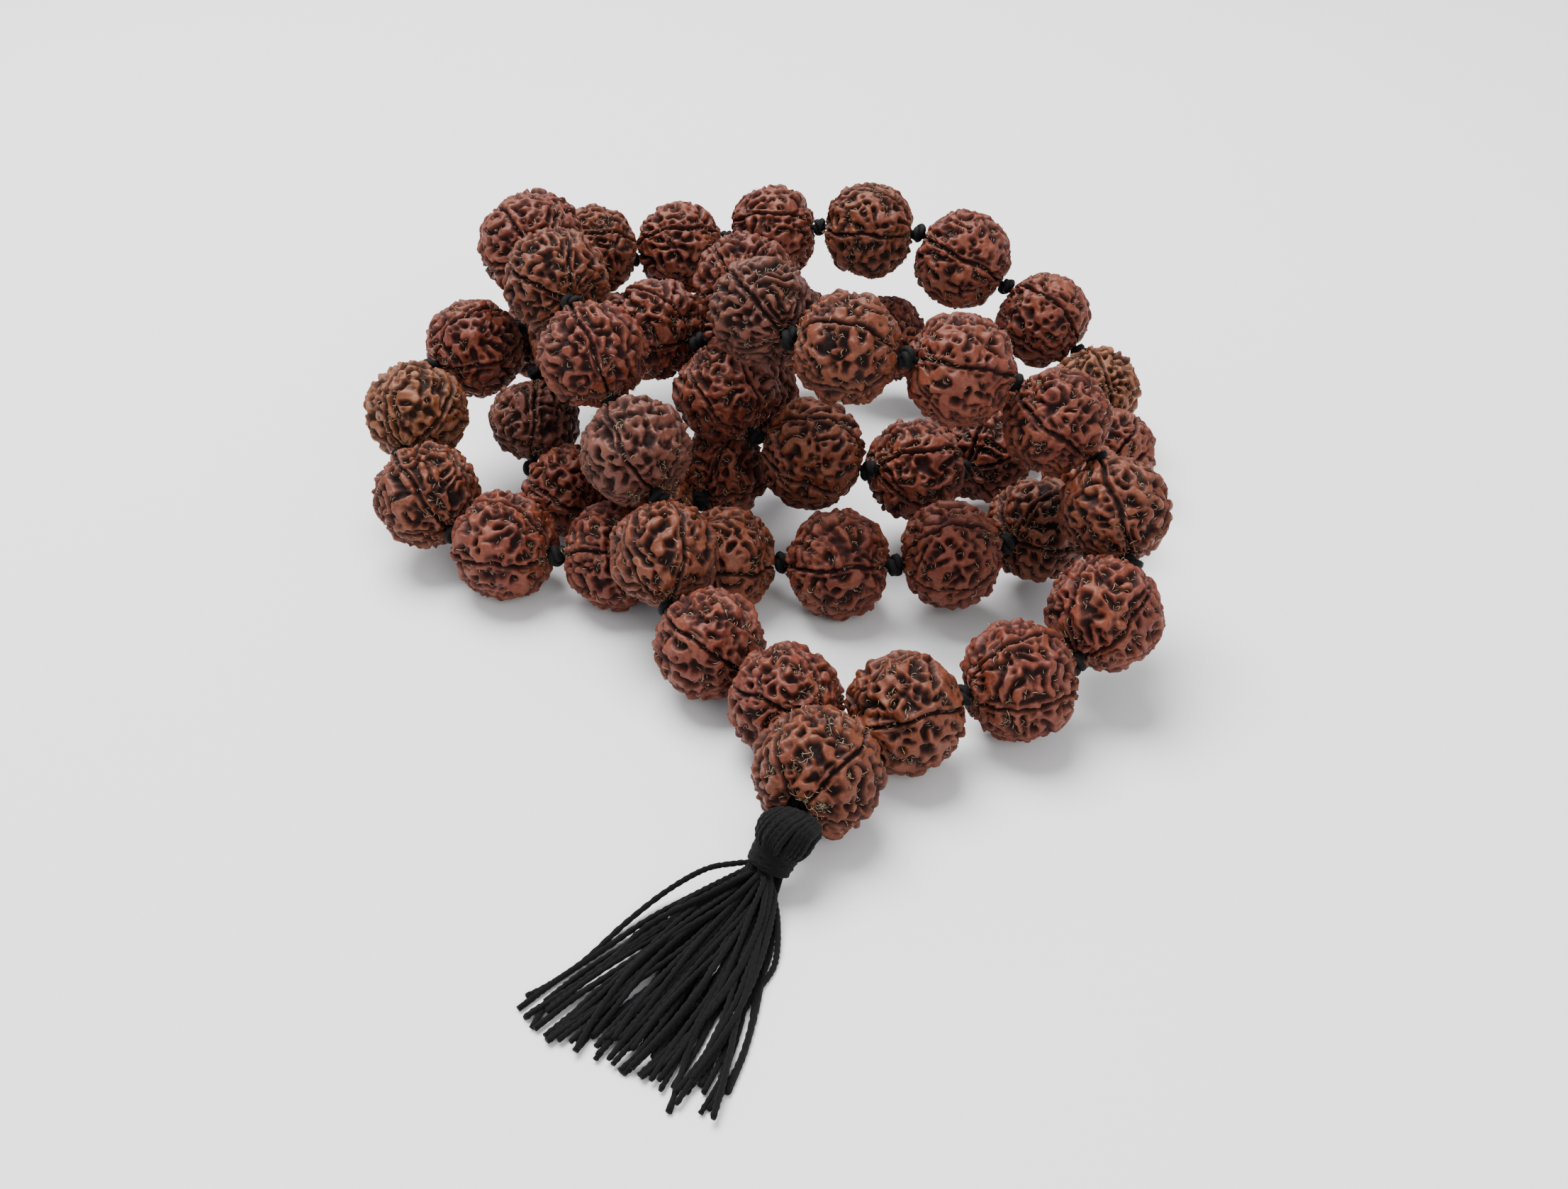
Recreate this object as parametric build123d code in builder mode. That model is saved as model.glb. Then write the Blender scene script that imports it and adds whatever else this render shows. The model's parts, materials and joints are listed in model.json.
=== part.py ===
from build123d import *
import os
from math import cos, pi, radians, sin, sqrt, tan

os.makedirs("parts", exist_ok=True)

# Mala prayer beads of rudraksha seeds: one knotted string through the seeds, whose two ends
# meet in the guru bead and carry a tassel. The mala lies in a loose heap.
# Millimetres, +Z up. The origin is on the ground, under the middle of the heap and its tassel.

# Driving dimensions

KNOT_DIAMETER = 3.6
KNOT_PITCH_ALLOWANCE = 1.2      # a run from knot to knot is this much longer than its seed's diameter
STRING_DIAMETER = 1.3
SEED_BORE_DIAMETER = 2.2
SEAT_CLEARANCE = 0.2            # between a knot and the hollow at a seed's end
SEED_LENGTH_RATIO = 0.94        # a seed's length along its bore over its diameter
FOLD_LENGTH_RATIO = 0.885       # the same, for the stubbier seeds on the tight inner fold
FOLD_SEEDS = range(37, 47)
END_FLAT_RATIO = 0.28           # the flat round a seed's hole, from its middle, over its radius
SHOULDER_ANGLE = 43             # from the bore's line to where the round side begins
FOLD_SHOULDER_ANGLE = 51

FACE_COUNT = 5                  # a five-faced seed has five grooves from end to end
GROOVE_WIDTH = 0.9
GROOVE_DEPTH = 0.7

GURU_CENTRE = Vector(5.4, -68.2, 11.3)
GURU_DIAMETER = 21.4
GURU_BORE_DIAMETER = 3.9
GURU_MOUTH_DIAMETER = 7.0
GURU_MOUTH_DEPTH = 2.6
GURU_OUTLET = Vector(-0.357, -0.934, 0).normalized()
STRAND_SPACING = 1.7            # between the string's two ends, side by side in the guru bead
STRING_END_DEPTH = 8.6          # from the guru bead's centre to the string's cut ends
BACK_MOUTH_REACH = 9.0          # from the guru bead's centre to where the first strand turns in
SECOND_STRAND_REACH = 4.0       # the same, for the second strand, which turns in further down the bore
KNOT_TANGENT = 1.4              # how far each side of a knot's centre the string may curve

TASSEL_PIVOT_REACH = 13.0       # from the guru bead's centre to the middle of the tassel's rounded top
TASSEL_PIVOT_DROP = 0.7
HEAD_TOP_RADIUS = 3.6
HEAD_BELLY_RADIUS = 3.95
HEAD_BELLY_REACH = 2.6          # from the pivot to the head's widest place
HEAD_LENGTH = 4.2               # from the pivot to the binding
BINDING_LENGTH = 3.4
BINDING_OUTER_RADIUS = 3.9
BINDING_CORE_RADIUS = 3.1
BINDING_EDGE_RADIUS = 0.3
HEAD_AXIS = Vector(-0.46, -0.42, -0.78).normalized()

SKIRT_AXIS = Vector(-0.48, -0.88, 0).normalized()
SKIRT_WAIST = (10.0, 16.0, 5.4)     # distance along the skirt from the binding, width, height
SKIRT_MIDDLE = (24.0, 24.0, 4.2)
SKIRT_HEM = (44.0, 32.0, 3.4)

# Centres of the knots along the string, from one side of the guru bead right round to the other.
# Seed n lies straight between knot n and the next one.
KNOT_ROUTE = [
    (6.5, -56.0, 11.5),
    (-6.0, -39.5, 8.5),
    (-20.5, -25.0, 13.5),
    (-23.0, -9.0, 27.0),
    (-32.0, 8.0, 37.5),
    (-40.5, 22.5, 51.5),
    (-48.5, 42.5, 52.5),
    (-56.0, 62.5, 49.5),
    (-51.5, 81.5, 40.0),
    (-34.5, 91.0, 32.0),
    (-13.0, 92.0, 36.5),
    (8.0, 88.0, 41.0),
    (30.0, 84.0, 41.0),
    (49.5, 76.5, 31.5),
    (65.5, 67.0, 20.0),
    (70.5, 49.5, 9.5),
    (66.5, 29.0, 10.5),
    (56.0, 10.5, 11.5),
    (42.0, -5.0, 15.0),
    (21.0, -7.5, 11.5),
    (-0.5, -3.0, 9.5),
    (-21.5, -2.5, 10.5),
    (-43.5, -2.0, 10.5),
    (-64.5, 5.0, 10.5),
    (-76.5, 21.5, 19.0),
    (-73.0, 40.5, 29.0),
    (-56.5, 54.5, 31.5),
    (-46.0, 70.0, 21.0),
    (-27.0, 79.5, 19.5),
    (-7.0, 85.0, 14.0),
    (13.5, 85.5, 19.0),
    (32.5, 78.5, 12.5),
    (46.0, 62.5, 9.5),
    (46.5, 41.5, 13.0),
    (36.0, 23.0, 15.0),
    (16.5, 15.0, 19.5),
    (-5.5, 18.0, 25.0),
    (-17.0, 30.5, 39.5),
    (-35.0, 42.5, 40.0),
    (-51.0, 40.0, 28.0),
    (-51.5, 27.0, 13.5),
    (-36.5, 15.0, 9.0),
    (-17.0, 19.0, 10.0),
    (-8.0, 36.5, 14.0),
    (-4.5, 46.0, 31.0),
    (-6.0, 38.5, 49.5),
    (-9.0, 19.5, 56.5),
    (1.0, 1.0, 54.5),
    (21.5, -5.0, 53.5),
    (41.5, -0.5, 46.5),
    (57.0, -7.5, 34.5),
    (61.5, -24.5, 22.5),
    (50.5, -40.5, 12.5),
    (30.0, -48.0, 11.0),
    (10.5, -57.5, 11.5),
]

# The origin's place in the route's own layout, so that it sits under the middle of the whole.
LAYOUT_ORIGIN = Vector(-3.34, -13.97, 0)

knots_at = [Vector(*point) - LAYOUT_ORIGIN for point in KNOT_ROUTE]
guru_at = GURU_CENTRE - LAYOUT_ORIGIN
seed_count = len(knots_at) - 1


def across(direction):
    """A level unit vector square to the direction, or +X where it is upright."""
    level = Vector(0, 0, 1).cross(direction)
    return level.normalized() if level.length > 0.01 else Vector(1, 0, 0)


def meridian_plane(centre, bore, turn):
    """A plane through the bore's line, with its Y along the bore, turned about it."""
    outward = across(bore).rotate(Axis((0, 0, 0), bore), turn)
    return Plane(origin=centre, x_dir=outward, z_dir=outward.cross(bore))


def seed_outline(radius, length_ratio, shoulder_angle, grow):
    """Half of a seed's outline from its bore's line outwards: a round side with bevelled ends."""
    half_length = radius * length_ratio
    flat = radius * END_FLAT_RATIO
    shoulder = radians(shoulder_angle)
    shoulder_out = (radius + grow) * sin(shoulder)
    shoulder_up = (radius + grow) * cos(shoulder)
    with BuildLine() as outline:
        Line((0, -half_length - grow), (flat, -half_length - grow))
        Line((flat, -half_length - grow), (shoulder_out, -shoulder_up))
        ThreePointArc((shoulder_out, -shoulder_up), (radius + grow, 0), (shoulder_out, shoulder_up))
        Line((shoulder_out, shoulder_up), (flat, half_length + grow))
        Line((flat, half_length + grow), (0, half_length + grow))
        Line((0, half_length + grow), (0, -half_length - grow))
    return outline.line


def seed_blank(plane, radius, length_ratio, shoulder_angle, bore_radius):
    """A seed turned about its bore, with its bore and its grooves cut."""
    centre = plane.origin
    bore = plane.y_dir
    half_length = radius * length_ratio
    with BuildPart() as blank:
        with BuildSketch(plane):
            with BuildLine():
                add(seed_outline(radius, length_ratio, shoulder_angle, 0))
            make_face()
        revolve(axis=Axis(centre, bore))
        with Locations(Plane(origin=centre, x_dir=plane.x_dir, z_dir=bore)):
            Cylinder(bore_radius, 4 * half_length, mode=Mode.SUBTRACT)
        for face in range(FACE_COUNT):
            with BuildSketch(meridian_plane(centre, bore, face * 360 / FACE_COUNT)):
                with BuildLine():
                    add(seed_outline(radius, length_ratio, shoulder_angle, GROOVE_DEPTH))
                make_face()
                with BuildLine():
                    add(seed_outline(radius, length_ratio, shoulder_angle, -GROOVE_DEPTH))
                make_face(mode=Mode.SUBTRACT)
            extrude(amount=GROOVE_WIDTH / 2, both=True, mode=Mode.SUBTRACT)
    return blank.part


# The seeds on the string

for number in range(1, seed_count + 1):
    knot_before = knots_at[number - 1]
    knot_after = knots_at[number]
    centre = (knot_before + knot_after) * 0.5
    bore = (knot_after - knot_before).normalized()
    radius = ((knot_after - knot_before).length - KNOT_PITCH_ALLOWANCE) / 2
    length_ratio = FOLD_LENGTH_RATIO if number in FOLD_SEEDS else SEED_LENGTH_RATIO
    shoulder_angle = FOLD_SHOULDER_ANGLE if number in FOLD_SEEDS else SHOULDER_ANGLE
    with BuildPart() as bead:
        add(seed_blank(meridian_plane(centre, bore, 0), radius, length_ratio, shoulder_angle,
                       SEED_BORE_DIAMETER / 2))
        with Locations(knot_before, knot_after):
            Sphere(KNOT_DIAMETER / 2 + SEAT_CLEARANCE, mode=Mode.SUBTRACT)
    bead.part.label = f"bead_{number:02d}"
    export_step(bead.part, f"parts/bead_{number:02d}.step")

# The guru bead, with a wide bore for both ends of the string and a flared mouth at each end

guru_radius = GURU_DIAMETER / 2
guru_half_length = guru_radius * SEED_LENGTH_RATIO
with BuildPart() as guru_bead:
    add(seed_blank(meridian_plane(guru_at, GURU_OUTLET, 0), guru_radius, SEED_LENGTH_RATIO,
                   SHOULDER_ANGLE, GURU_BORE_DIAMETER / 2))
    for end in (GURU_OUTLET, GURU_OUTLET * -1):
        mouth_bottom = guru_at + end * (guru_half_length - GURU_MOUTH_DEPTH)
        with BuildSketch(Plane(origin=mouth_bottom, x_dir=across(end), z_dir=end)):
            Circle(GURU_BORE_DIAMETER / 2)
        with BuildSketch(Plane(origin=mouth_bottom + end * GURU_MOUTH_DEPTH, x_dir=across(end), z_dir=end)):
            Circle(GURU_MOUTH_DIAMETER / 2)
        loft(mode=Mode.SUBTRACT)
guru_bead.part.label = "guru_bead"
export_step(guru_bead.part, "parts/guru_bead.step")

# The string: from the tassel's end of the guru bead, out of its back, through every knot and seed,
# and back in beside itself. It bends only inside its knots and in the guru bead's back mouth.

string_radius = STRING_DIAMETER / 2
beside = across(GURU_OUTLET) * (STRAND_SPACING / 2)
if (knots_at[0] - guru_at).dot(beside) > 0:
    beside = beside * -1
back = GURU_OUTLET * -1
first_end = guru_at + GURU_OUTLET * STRING_END_DEPTH + beside
last_end = guru_at + GURU_OUTLET * STRING_END_DEPTH - beside
string_points = [first_end, guru_at + back * BACK_MOUTH_REACH + beside]
string_points += knots_at
string_points += [guru_at + back * SECOND_STRAND_REACH - beside, last_end]

bend_radii = []
for before, corner, after in zip(string_points, string_points[1:], string_points[2:]):
    turn = (corner - before).get_angle(after - corner)
    bend_radii.append(KNOT_TANGENT / tan(radians(turn / 2)))
print("string bend radii, mm:", [round(value, 1) for value in bend_radii])

with BuildPart() as cord:
    with BuildLine() as string_path:
        FilletPolyline(*string_points, radius=bend_radii)
    with BuildSketch(Plane(origin=first_end, z_dir=back)):
        Circle(string_radius)
    sweep()
cord.part.label = "cord"
export_step(cord.part, "parts/cord.step")
string_length = sum(edge.length for edge in string_path.edges())
print("string length, mm:", round(string_length, 1))
volume_ratio = cord.part.volume / (pi * string_radius**2 * string_length)
print("string volume over section times length:", round(volume_ratio, 4))

# The knots, one between every two seeds and one at each side of the guru bead

with BuildPart() as knots:
    with Locations(*knots_at):
        Sphere(KNOT_DIAMETER / 2)
knots.part.label = "knots"
export_step(knots.part, "parts/knots.step")

# The tassel's head: doubled yarn that bulges out of the guru bead's mouth and enters the binding

pivot = guru_at + GURU_OUTLET * TASSEL_PIVOT_REACH - Vector(0, 0, TASSEL_PIVOT_DROP)
head_plane = meridian_plane(pivot, HEAD_AXIS, 0)
halfway_round = HEAD_TOP_RADIUS * sqrt(0.5)
binding_end = HEAD_LENGTH + BINDING_LENGTH
with BuildPart() as tassel_head:
    with BuildSketch(head_plane):
        with BuildLine():
            ThreePointArc((0, -HEAD_TOP_RADIUS), (halfway_round, -halfway_round), (HEAD_TOP_RADIUS, 0))
            Line((HEAD_TOP_RADIUS, 0), (HEAD_BELLY_RADIUS, HEAD_BELLY_REACH))
            Line((HEAD_BELLY_RADIUS, HEAD_BELLY_REACH), (BINDING_CORE_RADIUS, HEAD_LENGTH))
            Line((BINDING_CORE_RADIUS, HEAD_LENGTH), (BINDING_CORE_RADIUS, binding_end))
            Line((BINDING_CORE_RADIUS, binding_end), (0, binding_end))
            Line((0, binding_end), (0, -HEAD_TOP_RADIUS))
        make_face()
    revolve(axis=Axis(pivot, HEAD_AXIS))
tassel_head.part.label = "tassel_head"
export_step(tassel_head.part, "parts/tassel_head.step")

# The binding: yarn wound round the head's neck

with BuildPart() as tassel_binding:
    with BuildSketch(Plane(origin=pivot + HEAD_AXIS * HEAD_LENGTH, x_dir=across(HEAD_AXIS), z_dir=HEAD_AXIS)):
        Circle(BINDING_OUTER_RADIUS)
        Circle(BINDING_CORE_RADIUS, mode=Mode.SUBTRACT)
    extrude(amount=BINDING_LENGTH)
    outer_edges = tassel_binding.edges().filter_by(GeomType.CIRCLE).group_by(SortBy.RADIUS)[-1]
    fillet(outer_edges, BINDING_EDGE_RADIUS)
tassel_binding.part.label = "tassel_binding"
export_step(tassel_binding.part, "parts/tassel_binding.step")

# The skirt: loose yarn that fans out flat on the ground, as one plain solid

skirt_top = pivot + HEAD_AXIS * binding_end
with BuildPart() as tassel_skirt:
    with BuildSketch(Plane(origin=skirt_top, x_dir=across(HEAD_AXIS), z_dir=HEAD_AXIS)):
        Circle(BINDING_CORE_RADIUS)
    for distance, width, height in (SKIRT_WAIST, SKIRT_MIDDLE, SKIRT_HEM):
        station = Vector(skirt_top.X, skirt_top.Y, height / 2) + SKIRT_AXIS * distance
        with BuildSketch(Plane(origin=station, x_dir=across(SKIRT_AXIS), z_dir=SKIRT_AXIS)):
            Ellipse(width / 2, height / 2)
    loft(ruled=True)
tassel_skirt.part.label = "tassel_skirt"
export_step(tassel_skirt.part, "parts/tassel_skirt.step")
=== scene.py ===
import json
from math import atan2, cos, pi, radians, sin, sqrt

import bpy
import numpy as np
from mathutils import Matrix, Vector


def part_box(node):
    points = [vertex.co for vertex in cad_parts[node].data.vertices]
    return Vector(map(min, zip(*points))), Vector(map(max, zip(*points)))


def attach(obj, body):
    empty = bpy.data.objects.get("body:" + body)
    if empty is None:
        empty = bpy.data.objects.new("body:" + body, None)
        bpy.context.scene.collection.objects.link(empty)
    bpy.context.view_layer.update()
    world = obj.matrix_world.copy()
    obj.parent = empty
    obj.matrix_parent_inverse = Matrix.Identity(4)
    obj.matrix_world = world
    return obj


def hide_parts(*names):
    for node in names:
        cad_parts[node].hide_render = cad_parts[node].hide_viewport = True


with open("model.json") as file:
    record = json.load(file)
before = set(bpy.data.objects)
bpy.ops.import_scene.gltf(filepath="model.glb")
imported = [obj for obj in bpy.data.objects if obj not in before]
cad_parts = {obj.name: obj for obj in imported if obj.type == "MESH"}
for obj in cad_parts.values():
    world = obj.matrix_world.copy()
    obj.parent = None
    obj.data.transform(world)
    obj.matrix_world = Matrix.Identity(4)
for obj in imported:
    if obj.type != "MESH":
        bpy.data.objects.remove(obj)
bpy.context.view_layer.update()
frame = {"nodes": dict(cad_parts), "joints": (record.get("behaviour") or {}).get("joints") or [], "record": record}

# The looks of a heaped rudraksha mala: ridged seeds, tied knots, twisted yarn.
# Lengths inside the making functions are millimetres, and MM turns them into the scene's metres.

MM = 0.001

# Seeds, as the CAD model shapes them
KNOT_PITCH_ALLOWANCE = 1.2          # knots are this much further apart than the seed between them is wide
SEED_BORE_RADIUS = 1.1
GURU_BORE_RADIUS = 1.95
END_FLAT_RATIO = 0.28
SEED_LENGTH_RATIO, SEED_SHOULDER = 0.94, radians(43)
FOLD_LENGTH_RATIO, FOLD_SHOULDER = 0.885, radians(51)
FOLD_SEEDS = range(37, 47)
FACE_COUNT = 5

# A seed's mesh and its rounded outline
AROUND, ALONG = 250, 132            # columns and rows
OUTLINE_SHARPNESS = 4.0             # of the turns between its round side, bevels and flat ends
BORE_WALL_REACH = 0.7               # of the radius, from the middle to each mesh row inside the bore
END_HOLLOW_DEPTH, END_HOLLOW_ANGLE = 0.9, 0.24
PLAIN_END, RIDGED_END = 0.10, 0.32  # angles from the bore's line between which the relief fades in

# Relief of a seed's skin: ridges with hollows between them
RIDGE_WAVELENGTH = 2.35
RIDGE_SHARE = 0.16                  # above zero the ridges are wider than the hollows
RIDGE_BENDING, BENDING_WAVELENGTH = 0.5, 6.5
BRANCH_SHARE, BRANCH_WAVELENGTH = 0.26, 1.45
HOLLOW_FLOOR, RIDGE_TOP = -1.05, 1.10
HOLLOW_DEPTH = 1.35
HOLLOW_CURVE = 1.1
SWELL_HEIGHT, SWELL_WAVELENGTH = 0.22, 5.5
KNOB_HEIGHT, KNOB_WAVELENGTH = 0.17, 2.4
GRAIN_WAVELENGTH = 0.72
HIGHEST_BUMP = 0.5
SKIN_LIFT = 0.05

# Its pits, which some seeds have more of, and its face grooves, with a lip on each side
PIT_COUNT = 170
PIT_RADIUS = 0.52
PITTED_RIDGE_SHARE = 0.55           # added to RIDGE_SHARE on the most pitted seed
GROOVE_HALF_WIDTH = 0.27
GROOVE_DEPTH = 0.35
LIP_DISTANCE, LIP_WIDTH = 0.85, 0.42
LIP_HEIGHT, LIP_RIPPLE = 0.74, 0.16

FIBRES_PER_SEED = 380
LOWEST_SKIN = 0.02                  # height over the ground that no seed's skin goes below
FIRST_SEED_DRAW = 400               # each seed's own random draws start from this and its number
GURU_DRAW = 471

# Yarn and string
YARN_RADIUS = 0.47
BINDING_YARN_RADIUS = 0.33
PLY_COUNT = 2
YARN_LAY, HEAD_YARN_LAY, BINDING_YARN_LAY = 2.3, 2.2, 1.5
CUT_END = 0.95                      # a cut end's radius, as a share of its yarn's
KNOT_RING, KNOT_SWELL, KNOT_TUBE = 0.95, 0.62, 0.72
KNOT_STEPS, KNOT_SIDES = 60, 10

# The tassel, as the CAD model places it
HEAD_AXIS = Vector((-0.46, -0.42, -0.78)).normalized()
HEAD_LENGTH, BINDING_LENGTH = 4.2, 3.4
NECK_RADIUS = 3.1
SKIRT_AXIS = Vector((-0.48, -0.88, 0.0)).normalized()

# The looks of its head
HEAD_BELLY_RADIUS = 4.6
TOP_DROP = 0.9                      # of the head's top, under the middle of the guru bead's bore
TOP_WIDENING, TOP_FLATTENING = 0.22, 0.28
SAG, SAG_SIDE = 0.55, 0.6           # the droop over the binding, and where it is, in radians round the head
OUTER_HEAD_YARNS, INNER_HEAD_YARNS = 34, 22
BINDING_TURNS = 7.6
WINDING_RADIUS = 3.50               # from the neck's axis to the middle of the binding's yarn


# Camera first

camera_data = bpy.data.cameras.new("camera")
camera = bpy.data.objects.new("camera", camera_data)
bpy.context.scene.collection.objects.link(camera)
camera.location = (0.0033, -0.2704, 0.1892)
camera_target = Vector((0.0033, 0.0140, 0.0))
camera.rotation_euler = (camera_target - camera.location).to_track_quat("-Z", "Y").to_euler()
camera_data.lens = 40.0
camera_data.sensor_width = 36.0
camera_data.clip_start = 0.01
bpy.context.scene.camera = camera


# Materials

def new_material(name):
    """A material with its nodes, its links and its shader."""
    material = bpy.data.materials.new(name)
    material.use_nodes = True
    nodes = material.node_tree.nodes
    return material, nodes, material.node_tree.links, nodes["Principled BSDF"]


def noise(nodes, links, place, scale, detail, rough):
    """A noise texture in the object's own space."""
    texture = nodes.new("ShaderNodeTexNoise")
    texture.inputs["Scale"].default_value = scale
    texture.inputs["Detail"].default_value = detail
    texture.inputs["Roughness"].default_value = rough
    links.new(place.outputs["Object"], texture.inputs["Vector"])
    return texture


def ramp(nodes, links, source, stops):
    """A colour ramp whose stops are (position, linear colour)."""
    colours = nodes.new("ShaderNodeValToRGB")
    while len(colours.color_ramp.elements) < len(stops):
        colours.color_ramp.elements.new(0.5)
    for element, (position, colour) in zip(colours.color_ramp.elements, stops):
        element.position = position
        element.color = (*colour, 1)
    links.new(source, colours.inputs["Fac"])
    return colours


def mix(nodes, links, blend, amount, first, second):
    """Mixes two colours; amount is a number or an output."""
    mixer = nodes.new("ShaderNodeMix")
    mixer.data_type = "RGBA"
    mixer.blend_type = blend
    if isinstance(amount, (int, float)):
        mixer.inputs["Factor"].default_value = amount
    else:
        links.new(amount, mixer.inputs["Factor"])
    for value, socket in ((first, mixer.inputs["A"]), (second, mixer.inputs["B"])):
        if isinstance(value, tuple):
            socket.default_value = (*value, 1)
        else:
            links.new(value, socket)
    return mixer.outputs["Result"]


def bump(nodes, links, shader, height, strength, distance):
    """Roughens a shader's normal by a height."""
    bumper = nodes.new("ShaderNodeBump")
    bumper.inputs["Strength"].default_value = strength
    bumper.inputs["Distance"].default_value = distance
    links.new(height, bumper.inputs["Height"])
    links.new(bumper.outputs["Normal"], shader.inputs["Normal"])


def seed_material(name, ridge, shaded_flank, blush):
    """Dried seed coloured by its relief: painted shade, darkest in the hollows, a colour up their sides that is
    partly the seed's own darker tone and partly painted shade, the ridge colour on top, a painted highlight on the
    crests, blotched with blush.
    """
    material, nodes, links, shader = new_material(name)
    place = nodes.new("ShaderNodeTexCoord")
    relief = nodes.new("ShaderNodeAttribute")
    relief.attribute_name = "relief"
    height = relief.outputs["Fac"]
    # Painted shade and highlight: the hollows get the sides' colour darkened to 0.42 of it, and the crests get the
    # ridge colour made 1.35 times lighter.
    hollow_shade = tuple(0.42 * value for value in shaded_flank)
    slope = tuple(0.5 * (low + high) for low, high in zip(shaded_flank, ridge))
    crest_highlight = tuple(1.35 * value + 0.004 for value in ridge)
    skin = ramp(nodes, links, height,
                [(0.0, hollow_shade), (0.30, shaded_flank), (0.58, slope), (0.80, ridge), (1.0, crest_highlight)])
    blotches = noise(nodes, links, place, 190, 3, 0.6)
    blotch = ramp(nodes, links, blotches.outputs["Fac"], [(0.40, (0, 0, 0)), (0.62, (1, 1, 1))])
    blushed = mix(nodes, links, "MULTIPLY", blotch.outputs["Color"], skin.outputs["Color"], blush)
    grain = noise(nodes, links, place, 2400, 4, 0.65)
    speckle = ramp(nodes, links, grain.outputs["Fac"],
                   [(0.28, (0.62, 0.56, 0.54)), (0.64, (1.12, 1.10, 1.08))])
    coloured = mix(nodes, links, "MULTIPLY", 1.0, blushed, speckle.outputs["Color"])
    links.new(coloured, shader.inputs["Base Color"])
    sheen = ramp(nodes, links, height, [(0.2, (0.88, 0.88, 0.88)), (0.9, (0.50, 0.50, 0.50))])
    links.new(sheen.outputs["Color"], shader.inputs["Roughness"])
    shader.inputs["Specular IOR Level"].default_value = 0.30
    bump(nodes, links, shader, grain.outputs["Fac"], 0.45, 0.00016)
    return material


def yarn_material(name, colour, rough, sheen, scale):
    """Black cotton: fine fibre grain in colour and bump, with a soft fuzzy sheen."""
    material, nodes, links, shader = new_material(name)
    place = nodes.new("ShaderNodeTexCoord")
    fuzz = noise(nodes, links, place, scale, 5, 0.7)
    light = tuple(3.2 * value for value in colour)
    shade = ramp(nodes, links, fuzz.outputs["Fac"], [(0.38, colour), (0.72, light)])
    links.new(shade.outputs["Color"], shader.inputs["Base Color"])
    shader.inputs["Roughness"].default_value = rough
    shader.inputs["Sheen Weight"].default_value = sheen
    shader.inputs["Sheen Roughness"].default_value = 0.45
    shader.inputs["Specular IOR Level"].default_value = 0.16
    bump(nodes, links, shader, fuzz.outputs["Fac"], 0.7, 0.0002)
    return material


def fibre_material():
    """Dry straw-coloured fibre."""
    material, nodes, links, shader = new_material("straw_fibre")
    place = nodes.new("ShaderNodeTexCoord")
    tone = noise(nodes, links, place, 900, 2, 0.5)
    fibre = ramp(nodes, links, tone.outputs["Fac"],
                 [(0.35, (0.17, 0.105, 0.060)), (0.65, (0.44, 0.32, 0.20))])
    links.new(fibre.outputs["Color"], shader.inputs["Base Color"])
    shader.inputs["Roughness"].default_value = 0.6
    return material


# Colours of the ridges, of their sides (partly the seed's own darker tone, partly painted shade) and of the blush
SEED_TONES = {
    "seed_red": ((0.106, 0.0232, 0.0086), (0.030, 0.0050, 0.0032), (0.80, 0.60, 0.66)),
    "seed_brown": ((0.100, 0.0236, 0.0072), (0.019, 0.0030, 0.0015), (0.82, 0.70, 0.64)),
    "seed_tan": ((0.134, 0.0450, 0.0172), (0.038, 0.0105, 0.0046), (0.84, 0.76, 0.70)),
    "seed_grey": ((0.086, 0.0256, 0.0136), (0.022, 0.0050, 0.0035), (0.80, 0.68, 0.72)),
}
seed_materials = {slot: seed_material(slot, *tones) for slot, tones in SEED_TONES.items()}
straw = fibre_material()
yarn_black = yarn_material("black_yarn", (0.0016, 0.0015, 0.0018), 0.92, 0.03, 4200)
string_black = yarn_material("black_string", (0.0012, 0.0011, 0.0012), 0.60, 0.02, 5200)


# Mesh helpers

def make_object(name, points, faces, materials, face_materials=None, relief=None):
    """A smooth-shaded mesh object from points in millimetres and lists of vertex numbers."""
    mesh = bpy.data.meshes.new(name)
    mesh.from_pydata(np.asarray(points) * MM, [], faces)
    for material in materials:
        mesh.materials.append(material)
    mesh.polygons.foreach_set("use_smooth", np.ones(len(mesh.polygons), bool))
    if face_materials is not None:
        mesh.polygons.foreach_set("material_index", face_materials)
    if relief is not None:
        layer = mesh.attributes.new("relief", "FLOAT", "POINT")
        layer.data.foreach_set("value", np.asarray(relief, np.float32))
    mesh.update()
    piece = bpy.data.objects.new(name, mesh)
    bpy.context.scene.collection.objects.link(piece)
    return piece


def wrapped_quads(rows, columns, close_rows):
    """Quads over a grid of vertices whose columns wrap round, and whose rows do too if close_rows."""
    row = np.arange(rows if close_rows else rows - 1)[:, None]
    column = np.arange(columns)[None, :]
    below = (row + 1) % rows
    beside = (column + 1) % columns
    corners = (row * columns + column, row * columns + beside,
               below * columns + beside, below * columns + column)
    return np.stack(corners, axis=-1).reshape(-1, 4)


def side_frames(path):
    """A tangent and two side vectors at each point of a path, carried along without twisting."""
    tangents = np.gradient(path, axis=0)
    tangents /= np.linalg.norm(tangents, axis=1)[:, None]
    seed_side = np.array((0.0, 0.0, 1.0)) if abs(tangents[0][2]) < 0.9 else np.array((1.0, 0.0, 0.0))
    side = seed_side - tangents[0] * (seed_side @ tangents[0])
    first = []
    for tangent in tangents:
        side = side - tangent * (side @ tangent)
        side /= np.linalg.norm(side)
        first.append(side)
    first = np.array(first)
    return tangents, first, np.cross(tangents, first)


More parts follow.
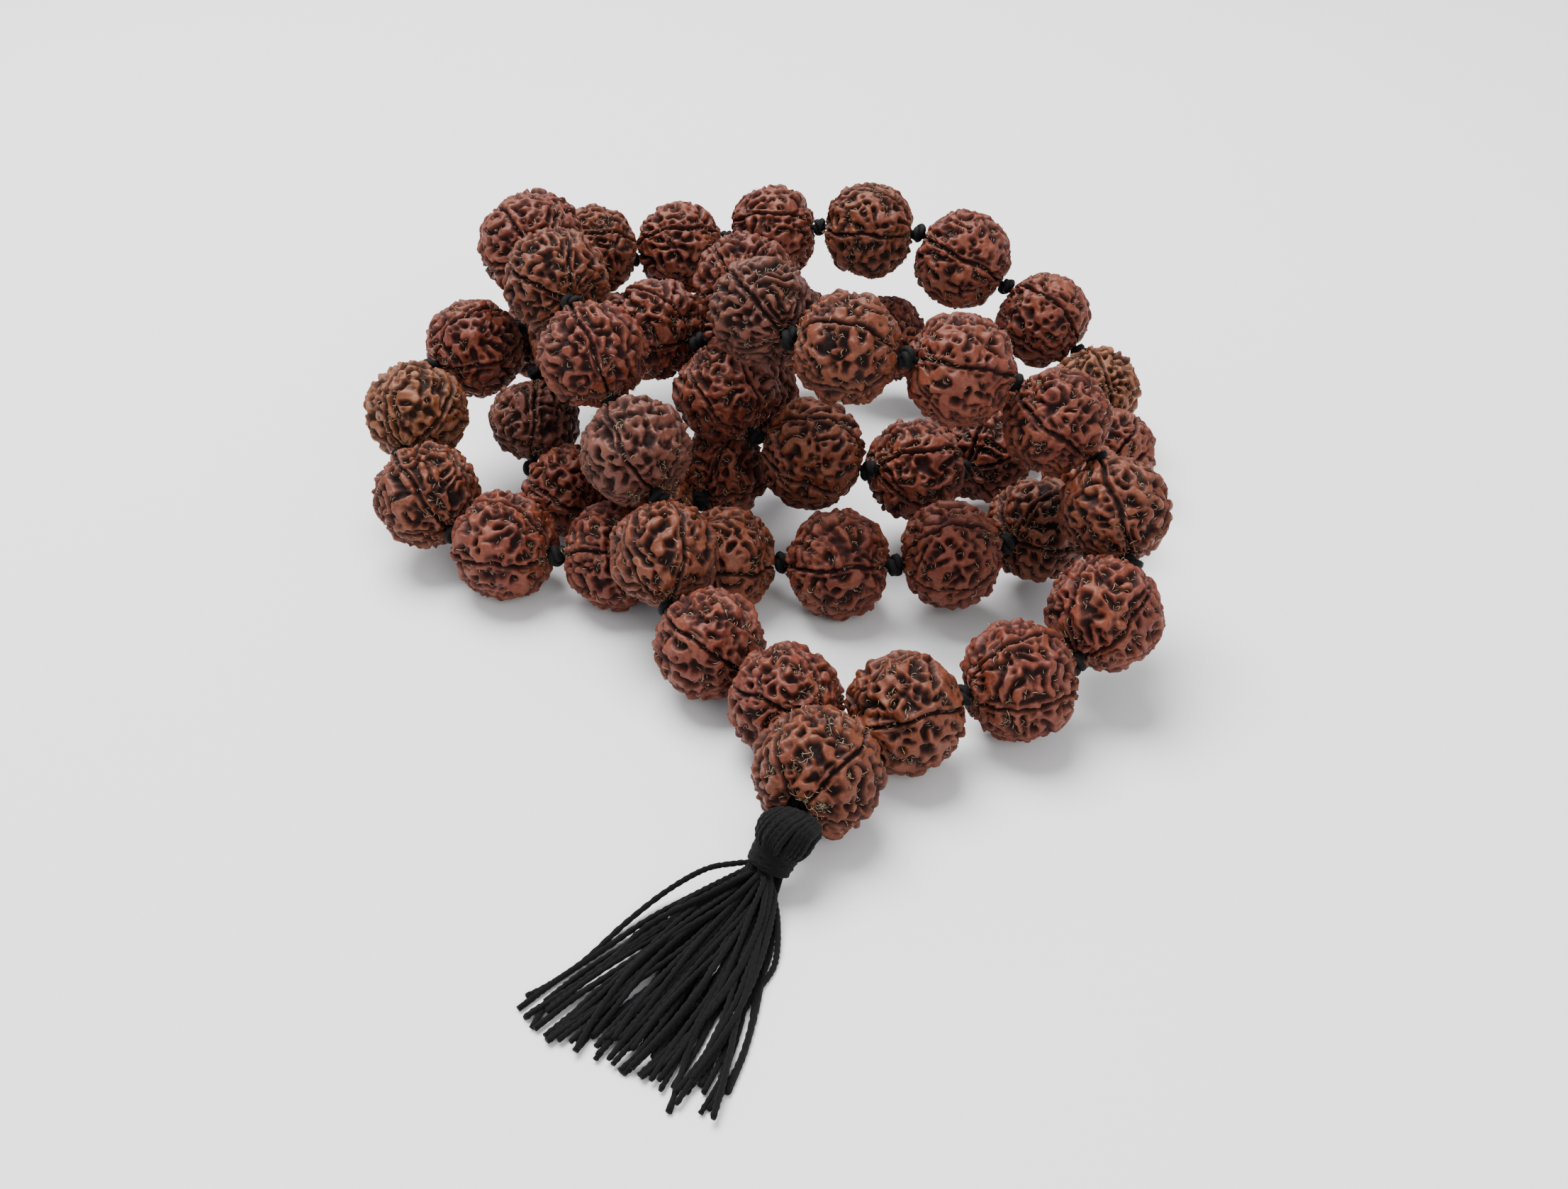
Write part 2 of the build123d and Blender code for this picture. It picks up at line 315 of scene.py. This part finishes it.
def yarn_tube(path, radius, sides, lobes, lay_length, taper=0.55):
    """A closed tube of plied yarn: its section has one lobe for each ply, turning once in lay_length."""
    path = np.asarray(path, float)
    _, first, second = side_frames(path)
    travelled = np.concatenate(([0], np.cumsum(np.linalg.norm(np.diff(path, axis=0), axis=1))))
    angle = np.linspace(0, 2 * pi, sides, endpoint=False)[None, :]
    turn = (2 * pi / lay_length) * travelled[:, None]
    swell = radius * (1 + 0.17 * np.cos(lobes * (angle - turn)))
    swell[0] *= taper
    swell[-1] *= taper
    ring = path[:, None, :] + swell[..., None] * (
        np.cos(angle)[..., None] * first[:, None, :] + np.sin(angle)[..., None] * second[:, None, :])
    count = len(path)
    points = ring.reshape(-1, 3)
    faces = wrapped_quads(count, sides, False)[:, ::-1].tolist()
    faces.append(list(range(sides)))
    faces.append(list(range((count - 1) * sides, count * sides))[::-1])
    return points, faces


def join_shapes(shapes):
    """One list of points and faces from several."""
    points, faces, start = [], [], 0
    for shape_points, shape_faces in shapes:
        points.append(shape_points)
        faces += [[corner + start for corner in face] for face in shape_faces]
        start += len(shape_points)
    return np.concatenate(points), faces


def smooth_path(control, count):
    """A Catmull-Rom curve through a few control points, evenly sampled."""
    control = [np.asarray(point, float) for point in control]
    control = [2 * control[0] - control[1]] + control + [2 * control[-1] - control[-2]]
    spans = len(control) - 3
    samples = []
    for step in np.linspace(0, spans - 1e-9, count):
        span = int(step)
        t = step - span
        a, b, c, d = control[span:span + 4]
        samples.append(0.5 * (2 * b + (c - a) * t + (2 * a - 5 * b + 4 * c - d) * t**2
                              + (3 * b - a - 3 * c + d) * t**3))
    return np.array(samples)


# Seeds

def random_waves(points, wavelength, count, rng):
    """A smooth random field whose bumps are about half a wavelength across, with a spread of one."""
    directions = rng.normal(size=(count, 3))
    directions /= np.linalg.norm(directions, axis=1)[:, None]
    pitch = 2 * pi / wavelength * rng.uniform(0.85, 1.15, count)
    phases = rng.uniform(0, 2 * pi, count)
    return np.cos(points @ (directions * pitch[:, None]).T + phases).sum(axis=1) * sqrt(2 / count)


def smoothstep(low, high, value):
    """Rises from 0 at low to 1 at high, level at both ends."""
    t = np.clip((value - low) / (high - low), 0, 1)
    return t * t * (3 - 2 * t)


def profile_radius(theta, radius, length_ratio, shoulder):
    """Distance from a seed's centre to its plain surface, theta from the bore's line."""
    theta = np.minimum(theta, pi - theta)
    half_length = radius * length_ratio
    flat = radius * END_FLAT_RATIO
    out, up = radius * sin(shoulder), radius * cos(shoulder)
    normal = np.array((half_length - up, out - flat))
    normal /= np.linalg.norm(normal)
    bevel = (normal @ (out, up)) / (normal[0] * np.sin(theta) + normal[1] * np.cos(theta))
    cap = half_length / np.maximum(np.cos(theta), 0.2)
    surfaces = np.stack((np.full_like(theta, radius), bevel, cap))
    blended = np.log(np.exp(-OUTLINE_SHARPNESS * (surfaces - radius)).sum(axis=0))
    return -blended / OUTLINE_SHARPNESS + radius


def pit_field(direction, rng):
    """One in the middle of each small crater, fading to nothing outside it."""
    middles = rng.normal(size=(PIT_COUNT, 3))
    middles /= np.linalg.norm(middles, axis=1)[:, None]
    widths = PIT_RADIUS / 10 * rng.uniform(0.7, 1.35, PIT_COUNT)    # on a sphere of radius one
    apart = 2 - 2 * (direction @ middles.T)
    return np.exp(-apart / widths**2).max(axis=1)


def seed_relief(place, theta, phi, radius, rng):
    """Relief of a seed's skin, 0 in the hollows to 1 on the crests, which also sets the painted shade of its
    colour, and the depth of its face grooves.
    """
    bending = np.stack([random_waves(place, BENDING_WAVELENGTH, 10, rng) for _ in range(3)], axis=1)
    bent = place + RIDGE_BENDING * bending
    field = random_waves(bent, RIDGE_WAVELENGTH * rng.uniform(0.90, 1.12), 46, rng)
    field += BRANCH_SHARE * random_waves(place, BRANCH_WAVELENGTH, 34, rng)
    pitted = rng.uniform(0.0, 1.0)
    relief = smoothstep(HOLLOW_FLOOR, RIDGE_TOP, field + RIDGE_SHARE + PITTED_RIDGE_SHARE * pitted)
    relief *= 1 - (0.45 + 0.45 * pitted) * pit_field(place / radius, rng)
    groove = np.zeros_like(relief)
    for face in range(FACE_COUNT):
        wander = 0.05 * np.sin(2.1 * theta + rng.uniform(0, 6))
        wander = wander + 0.028 * np.sin(6.3 * theta + rng.uniform(0, 6))
        middle = 2 * pi * face / FACE_COUNT + rng.uniform(-0.10, 0.10) + wander
        turn = (phi - middle + pi) % (2 * pi) - pi
        aside = np.abs(radius * np.sin(theta) * turn)
        lip = np.exp(-(((aside - LIP_DISTANCE) / LIP_WIDTH) ** 2))
        relief = np.maximum(relief, (LIP_HEIGHT + LIP_RIPPLE * np.sin(11 * theta + 2 * face)) * lip)
        cut = np.exp(-((aside / GROOVE_HALF_WIDTH) ** 2))
        relief *= 1 - 0.9 * cut
        groove = np.maximum(groove, cut)
    return relief, groove


def make_fibres(surface, relief, rng, count):
    """Short curled fibres left in the hollows: four-sided closed tubes."""
    patches = random_waves(surface, 7.0, 10, rng)
    chance = np.clip(0.80 - relief, 0, 1) * np.clip(patches + 0.9, 0.08, 2)
    roots = rng.choice(len(surface), count, p=chance / chance.sum())
    shapes = []
    for root in surface[roots]:
        outward = root / np.linalg.norm(root)
        along = rng.normal(size=3)
        along -= outward * (along @ outward)
        along /= np.linalg.norm(along)
        aside = np.cross(outward, along)
        length = rng.uniform(0.6, 1.6)
        lift = rng.uniform(0.30, 0.85)
        curl = rng.uniform(-0.9, 0.9)
        t = np.linspace(-0.5, 0.5, 5)[:, None]
        path = root + t * length * along + (0.25 - t**2) * 4 * lift * outward + t**2 * 2 * curl * aside
        path = path - 0.08 * outward
        shapes.append(yarn_tube(path, rng.uniform(0.026, 0.046), 4, 0, 9.0, taper=0.5))
    return join_shapes(shapes)


def make_seed(name, centre, bore, radius, length_ratio, shoulder, bore_radius, slot, draw, fibre_count):
    """One seed with its bore, face grooves, ridges, hollows and fibres, placed in the heap."""
    rng = np.random.default_rng(draw)
    end_angle = bore_radius / (radius * length_ratio)
    theta = np.linspace(end_angle, pi - end_angle, ALONG)[:, None] * np.ones((1, AROUND))
    phi = np.linspace(0, 2 * pi, AROUND, endpoint=False)[None, :] * np.ones((ALONG, 1))
    theta, phi = theta.ravel(), phi.ravel()
    outwards = np.sin(theta)
    direction = np.stack((outwards * np.cos(phi), outwards * np.sin(phi), np.cos(theta)), axis=1)
    place = direction * radius
    relief, groove = seed_relief(place, theta, phi, radius, rng)
    from_end = np.minimum(theta, pi - theta)
    end_hollow = END_HOLLOW_DEPTH * np.exp(-((from_end / END_HOLLOW_ANGLE) ** 2))
    swell = SWELL_HEIGHT * random_waves(place, SWELL_WAVELENGTH, 12, rng)
    knobs = KNOB_HEIGHT * np.maximum(random_waves(place, KNOB_WAVELENGTH, 30, rng), -0.6) * relief
    grain = (0.014 + 0.070 * (1 - relief)) * random_waves(place, GRAIN_WAVELENGTH, 40, rng)
    end_fade = smoothstep(PLAIN_END, RIDGED_END, from_end)
    depth = HOLLOW_DEPTH * (1 - relief) ** HOLLOW_CURVE + GROOVE_DEPTH * groove
    height = profile_radius(theta, radius, length_ratio, shoulder)
    bumps = end_fade * (np.minimum(swell + knobs, HIGHEST_BUMP) + grain)
    height += SKIN_LIFT + bumps - (0.35 + 0.65 * end_fade) * depth - end_hollow
    surface = direction * height[:, None]
    rim = surface.reshape(ALONG, AROUND, 3)
    ring = np.stack((np.cos(phi[:AROUND]), np.sin(phi[:AROUND])), axis=1) * bore_radius
    rim[0, :, :2] = ring
    rim[-1, :, :2] = ring
    bore_rows = [np.column_stack((ring, np.full(AROUND, level * radius)))
                 for level in (-BORE_WALL_REACH, BORE_WALL_REACH)]
    points = np.concatenate((rim.reshape(-1, 3), *bore_rows))
    # Painted shade: the colour value is cut by a further 0.8 in the face grooves, and the bore's walls get 0, the
    # hollows' darkest painted shade.
    shade = np.concatenate((relief * (1 - 0.8 * groove), np.zeros(2 * AROUND)))
    skin_faces = wrapped_quads(ALONG + 2, AROUND, True)
    fibre_points, fibre_faces = make_fibres(surface, relief, rng, fibre_count)
    faces = skin_faces.tolist() + [[corner + len(points) for corner in face] for face in fibre_faces]
    face_materials = np.concatenate((np.zeros(len(skin_faces), int), np.ones(len(fibre_faces), int)))
    shade = np.concatenate((shade, np.ones(len(fibre_points))))
    points = np.concatenate((points, fibre_points))
    spin = Matrix.Rotation(rng.uniform(0, 2 * pi), 3, "Z")
    turn = np.array(Vector(bore).to_track_quat("Z", "Y").to_matrix() @ spin)
    placed = points @ turn.T + np.array(centre) / MM
    placed[:, 2] = np.maximum(placed[:, 2], LOWEST_SKIN)
    piece = make_object(name, placed, faces, [seed_materials[slot], straw], face_materials, shade)
    return piece


slot_of = {part["node"]: part["material_slot"] for part in frame["record"]["subparts"]}
joint_of = {joint["child"]: joint for joint in frame["joints"]}
seed_names = sorted(name for name in frame["nodes"] if name.startswith("bead_"))
knots_at = []
for number, node in enumerate(seed_names, start=1):
    joint = joint_of[node]
    low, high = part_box(node)
    radius = max(high - low) / 2 / MM
    tight = number in FOLD_SEEDS
    seed_piece = make_seed(
        f"seed_{number:02d}", joint["pos_m"], joint["axis"], radius,
        FOLD_LENGTH_RATIO if tight else SEED_LENGTH_RATIO, FOLD_SHOULDER if tight else SEED_SHOULDER,
        SEED_BORE_RADIUS, slot_of[node], FIRST_SEED_DRAW + number, FIBRES_PER_SEED)
    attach(seed_piece, node)
    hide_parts(node)
    centre, bore = Vector(joint["pos_m"]), Vector(joint["axis"])
    reach = bore * (radius + KNOT_PITCH_ALLOWANCE / 2) * MM
    knots_at.append((centre - reach, bore))
    last_knot = (centre + reach, bore)
knots_at.append(last_knot)

guru_joint = joint_of["guru_bead"]
guru_centre, guru_outlet = Vector(guru_joint["pos_m"]), Vector(guru_joint["axis"])
guru_low, guru_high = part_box("guru_bead")
guru_radius = max(guru_high - guru_low) / 2 / MM
guru_piece = make_seed("guru_seed", guru_centre, guru_outlet, guru_radius, SEED_LENGTH_RATIO, SEED_SHOULDER,
                       GURU_BORE_RADIUS, slot_of["guru_bead"], GURU_DRAW, 2 * FIBRES_PER_SEED)
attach(guru_piece, "guru_bead")
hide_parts("guru_bead")


# Knots: an overhand knot, pulled tight into a ball, at each place on the string

def knot_shape(centre, bore, rng):
    """A trefoil tube round the string, turned at random about it."""
    t = np.linspace(0, 2 * pi, KNOT_STEPS, endpoint=False)
    ring = KNOT_RING + KNOT_SWELL * np.cos(3 * t)
    path = np.stack((ring * np.cos(2 * t), ring * np.sin(2 * t), 1.05 * KNOT_SWELL * np.sin(3 * t)), axis=1)
    tangents = np.roll(path, -1, axis=0) - np.roll(path, 1, axis=0)
    tangents /= np.linalg.norm(tangents, axis=1)[:, None]
    first = np.cross(tangents, path)
    first /= np.linalg.norm(first, axis=1)[:, None]
    second = np.cross(tangents, first)
    angle = np.linspace(0, 2 * pi, KNOT_SIDES, endpoint=False)[None, :]
    plait = 1 + 0.10 * np.cos(3 * angle + 30 * t[:, None]) * np.cos(2 * angle - 30 * t[:, None])
    ring_points = path[:, None, :] + KNOT_TUBE * plait[..., None] * (
        np.cos(angle)[..., None] * first[:, None, :] + np.sin(angle)[..., None] * second[:, None, :])
    spin = Matrix.Rotation(rng.uniform(0, 2 * pi), 3, "Z")
    turn = np.array(bore.to_track_quat("Z", "Y").to_matrix() @ spin)
    points = ring_points.reshape(-1, 3) * rng.uniform(0.93, 1.05) @ turn.T + np.array(centre) / MM
    return points, wrapped_quads(KNOT_STEPS, KNOT_SIDES, True).tolist()


knot_rng = np.random.default_rng(77)
knot_points, knot_faces = join_shapes([knot_shape(centre, bore, knot_rng) for centre, bore in knots_at])
knots_piece = make_object("tied_knots", knot_points, knot_faces, [string_black])
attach(knots_piece, "string")
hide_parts("knots")
cord_mesh = frame["nodes"]["cord"].data
cord_mesh.materials.clear()
cord_mesh.materials.append(string_black)


# Tassel

pivot = np.array(joint_of["tassel"]["pos_m"]) / MM
head_axis = np.array(HEAD_AXIS)
head_side = np.cross((0, 0, 1), head_axis)
head_side /= np.linalg.norm(head_side)
head_up = np.cross(head_axis, head_side)
skirt_axis = np.array(SKIRT_AXIS)
skirt_side = np.array((-skirt_axis[1], skirt_axis[0], 0.0))
yarn_rng = np.random.default_rng(2024)


def on_head(distance, radius, angle):
    """A point on the tassel's head, by distance along its axis from the pivot."""
    return pivot + head_axis * distance + radius * (cos(angle) * head_side + sin(angle) * head_up)


def on_bent_head(distance, radius, angle):
    """The same, where the head's top bends round into the guru bead's bore."""
    share = float(smoothstep(2.0, -1.4, distance))
    axis = head_axis * (1 - share) + np.array(guru_outlet) * share
    axis /= np.linalg.norm(axis)
    side = head_side - axis * head_side.dot(axis)
    side /= np.linalg.norm(side)
    up = head_up - axis * head_up.dot(axis) - side * head_up.dot(side)
    up /= np.linalg.norm(up)
    across = radius * (1 + TOP_WIDENING * share) * cos(angle)
    upwards = radius * (1 - TOP_FLATTENING * share) * sin(angle)
    middle = pivot + axis * distance - np.array((0, 0, TOP_DROP * share))
    return middle + across * side + upwards * up


def head_strand(angle):
    """One yarn over the head, out of the guru bead's bore and down into the binding."""
    stretch = yarn_rng.uniform(0.95, 1.04)
    sag = SAG * max(0.0, cos(angle - SAG_SIDE))
    lean = yarn_rng.uniform(-0.10, 0.10)
    stations = ((-3.3, 1.3), (-2.8, 2.4), (-2.1, 3.5), (-1.0, 4.1), (0.6, HEAD_BELLY_RADIUS),
                (2.2, HEAD_BELLY_RADIUS - 0.1 + sag), (3.5, NECK_RADIUS + 0.8 + sag),
                (4.9, NECK_RADIUS - 0.1))
    control = [on_bent_head(distance, stretch * (radius - YARN_RADIUS) + 0.1, angle + lean * distance / 5)
               for distance, radius in stations]
    return yarn_tube(smooth_path(control, 40), YARN_RADIUS, 8, PLY_COUNT, HEAD_YARN_LAY)


head_shapes = [head_strand(2 * pi * index / OUTER_HEAD_YARNS + yarn_rng.uniform(-0.05, 0.05))
               for index in range(OUTER_HEAD_YARNS)]
head_shapes += [head_strand(2 * pi * index / INNER_HEAD_YARNS + 0.07) for index in range(INNER_HEAD_YARNS)]
head_points, head_faces = join_shapes(head_shapes)
head_piece = make_object("head_yarns", head_points, head_faces, [yarn_black])
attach(head_piece, "tassel")
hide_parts("tassel_head")


def binding_strand():
    """The wound yarn: a helix down the neck, with turns a little uneven."""
    t = np.linspace(0, 1, int(BINDING_TURNS * 40))
    angle = 2 * pi * BINDING_TURNS * t
    distance = HEAD_LENGTH + 0.10 + (BINDING_LENGTH - 0.4) * t + 0.07 * np.sin(2.7 * angle)
    radius = WINDING_RADIUS + 0.07 * np.sin(1.3 * angle + 1) - 0.25 * t
    path = pivot + distance[:, None] * head_axis + radius[:, None] * (
        np.cos(angle)[:, None] * head_side + np.sin(angle)[:, None] * head_up)
    return yarn_tube(path, BINDING_YARN_RADIUS, 8, PLY_COUNT, BINDING_YARN_LAY)


binding_points, binding_faces = binding_strand()
binding_piece = make_object("wound_binding", binding_points, binding_faces, [yarn_black])
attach(binding_piece, "tassel")
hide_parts("tassel_binding")

skirt_top = pivot + head_axis * (HEAD_LENGTH + BINDING_LENGTH)
skirt_ground = np.array((skirt_top[0], skirt_top[1], 0.0))

# Half-width of the fan, and the height of the pile of yarn on it, at shares of a yarn's length
FAN_STATIONS = ((0.10, 3.6, 4.2), (0.24, 6.2, 3.6), (0.42, 9.0, 2.8), (0.62, 11.6, 2.1), (0.82, 13.4, 1.5),
                (1.0, 14.3, 0.9))
FAN_LEAN = 1.6                      # to one side, at the hem
FAN_REACH = 41.0
UNDER_YARNS, OVER_YARNS = 34, 30
MIDDLE_LAYER = 0.45                 # where the yarns under and the yarns over meet


def in_binding(spread, layer, distance):
    """A point in the mouth of the binding, for a yarn on that side and in that layer."""
    angle = atan2(2 * layer - 1, spread)
    reach = (NECK_RADIUS - 0.5) * min(1.0, sqrt(spread**2 + (2 * layer - 1) ** 2))
    return on_head(HEAD_LENGTH + BINDING_LENGTH + distance, reach, angle)


def on_ground(distance, sideways, height):
    """A point on the skirt, by distance along it, sideways and over the ground."""
    return skirt_ground + skirt_axis * distance + skirt_side * sideways + np.array((0, 0, height))


def skirt_strand(spread, layer, length, wander, drift):
    """The path of one yarn of the fan: spread is -1 to 1 from side to side, and layer 0 to 1 upwards."""
    control = [in_binding(spread, layer, -1.5), in_binding(spread, layer, 0.4)]
    phase = yarn_rng.uniform(0, 2 * pi)
    for share, half_width, pile in FAN_STATIONS:
        sway = sin(4.6 * share + phase) * min(1.0, 2.2 * share)
        sideways = half_width * (spread + drift * (share - 0.25)) + wander * sway - FAN_LEAN * share**2
        height = YARN_RADIUS + 0.08 + pile * layer * (1 + 0.25 * sin(5 * share + phase))
        control.append(on_ground(length * share, sideways, height))
    return smooth_path(control, int(length * 2.1))


def hem_length(spread):
    """A yarn's uneven reach along the ground, on average a little more at +1 than at -1."""
    return FAN_REACH + 0.8 * spread + yarn_rng.uniform(-4.0, 1.8)


def skirt_shapes(count, low_layer, high_layer):
    """Yarns spread evenly over the fan, between two layers."""
    shapes = []
    for index in range(count):
        spread = -0.95 + 1.9 * (index + yarn_rng.uniform(0.0, 1.0)) / count
        layer = yarn_rng.uniform(low_layer, high_layer)
        path = skirt_strand(spread, layer, hem_length(spread), yarn_rng.uniform(-1.6, 1.6),
                            yarn_rng.uniform(-0.42, 0.42))
        thickness = YARN_RADIUS * yarn_rng.uniform(0.86, 1.06)
        shapes.append(yarn_tube(path, thickness, 7, PLY_COUNT, YARN_LAY, taper=CUT_END))
    return join_shapes(shapes)


lower_points, lower_faces = skirt_shapes(UNDER_YARNS, 0.0, MIDDLE_LAYER)
lower_skirt = make_object("skirt_yarns_under", lower_points, lower_faces, [yarn_black])
upper_points, upper_faces = skirt_shapes(OVER_YARNS, MIDDLE_LAYER, 1.0)
upper_skirt = make_object("skirt_yarns_over", upper_points, upper_faces, [yarn_black])
for skirt_piece in (lower_skirt, upper_skirt):
    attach(skirt_piece, "tassel")
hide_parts("tassel_skirt")

# Loose yarns that lie apart from the bundle: points of (distance, sideways, height) on the ground
LOOSE_YARNS = (
    ((1.0, -4.6, 4.6), (4.0, -8.6, 4.0), (9.5, -12.4, 2.2), (17.5, -14.9, 1.0),
     (26.5, -16.2, 0.6), (33.0, -18.0, 0.6), (36.5, -19.6, 0.6)),
    ((2.0, -3.4, 4.2), (8.0, -7.4, 3.0), (15.0, -11.9, 1.4), (24.0, -15.2, 0.6),
     (32.0, -17.6, 0.6), (39.0, -19.2, 0.6)),
    ((2.0, -2.6, 4.0), (9.0, -7.8, 2.8), (18.0, -11.2, 1.3), (28.0, -14.6, 0.6),
     (36.0, -16.0, 0.6), (41.0, -15.4, 0.6)),
    ((2.0, 1.6, 3.6), (6.5, 4.8, 1.4), (13.0, 7.5, 0.6), (20.0, 8.9, 0.6),
     (27.5, 10.2, 0.6), (36.0, 12.9, 0.6), (40.5, 14.4, 0.6)),
    ((2.0, 1.9, 4.0), (7.0, 5.8, 2.0), (13.5, 8.9, 0.6), (19.5, 9.3, 0.6),
     (26.0, 9.4, 0.6), (34.0, 11.6, 0.6)),
    ((2.0, -1.2, 5.2), (9.0, -5.2, 4.4), (18.0, -10.6, 2.8), (28.0, -12.8, 1.2),
     (37.0, -16.6, 0.6), (40.0, -17.4, 0.6)),
    ((2.0, 0.2, 5.6), (10.0, -1.8, 4.6), (20.0, -6.6, 3.0), (31.0, -10.6, 1.4), (41.5, -12.2, 0.6)),
    ((2.0, 1.2, 5.0), (10.0, 4.4, 4.0), (20.0, 6.0, 2.8), (31.0, 6.0, 1.7), (44.5, 9.6, 0.6)),
)
for number, ground_points in enumerate(LOOSE_YARNS, start=1):
    side = ground_points[0][1] / 5
    control = [in_binding(side, 0.55, -1.5), in_binding(side, 0.60, 0.2)]
    control += [on_ground(*point) for point in ground_points]
    path = smooth_path(control, 96)
    loose_points, loose_faces = yarn_tube(path, YARN_RADIUS, 8, PLY_COUNT, YARN_LAY, taper=CUT_END)
    loose_yarn = make_object(f"loose_yarn_{number}", loose_points, loose_faces, [yarn_black])
    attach(loose_yarn, "tassel")


# Floor and light

FLOOR_HALF = 4.0
floor_corners = [(-FLOOR_HALF, -FLOOR_HALF, 0), (FLOOR_HALF, -FLOOR_HALF, 0),
                 (FLOOR_HALF, FLOOR_HALF, 0), (-FLOOR_HALF, FLOOR_HALF, 0)]
floor_mesh = bpy.data.meshes.new("floor")
floor_mesh.from_pydata(floor_corners, [], [(0, 1, 2, 3)])
floor = bpy.data.objects.new("floor", floor_mesh)
bpy.context.scene.collection.objects.link(floor)
floor_material, floor_nodes, floor_links, floor_shader = new_material("pale_paper")
floor_place = floor_nodes.new("ShaderNodeTexCoord")
floor_grain = noise(floor_nodes, floor_links, floor_place, 3.0, 3, 0.5)
floor_tone = ramp(floor_nodes, floor_links, floor_grain.outputs["Fac"],
                  [(0.3, (0.77, 0.775, 0.79)), (0.7, (0.80, 0.80, 0.81))])
floor_links.new(floor_tone.outputs["Color"], floor_shader.inputs["Base Color"])
floor_shader.inputs["Roughness"].default_value = 0.7
floor_mesh.materials.append(floor_material)


def area_light(name, place, aim, size, power, colour):
    """A round soft light, aimed at a point."""
    data = bpy.data.lights.new(name, "AREA")
    data.shape = "DISK"
    data.size = size
    data.energy = power
    data.color = colour
    light = bpy.data.objects.new(name, data)
    light.location = place
    light.rotation_euler = (Vector(aim) - Vector(place)).to_track_quat("-Z", "Y").to_euler()
    bpy.context.scene.collection.objects.link(light)


area_light("overhead", (-0.25, 0.35, 1.1), (0, 0, 0), 0.9, 35, (1.0, 0.985, 0.97))
area_light("front_fill", (0.5, -1.2, 0.9), (0, 0, 0.02), 0.8, 11, (1.0, 0.97, 0.94))
world = bpy.data.worlds.new("studio")
bpy.context.scene.world = world
world.use_nodes = True
world.node_tree.nodes["Background"].inputs["Color"].default_value = (0.95, 0.97, 1.0, 1)
world.node_tree.nodes["Background"].inputs["Strength"].default_value = 0.88
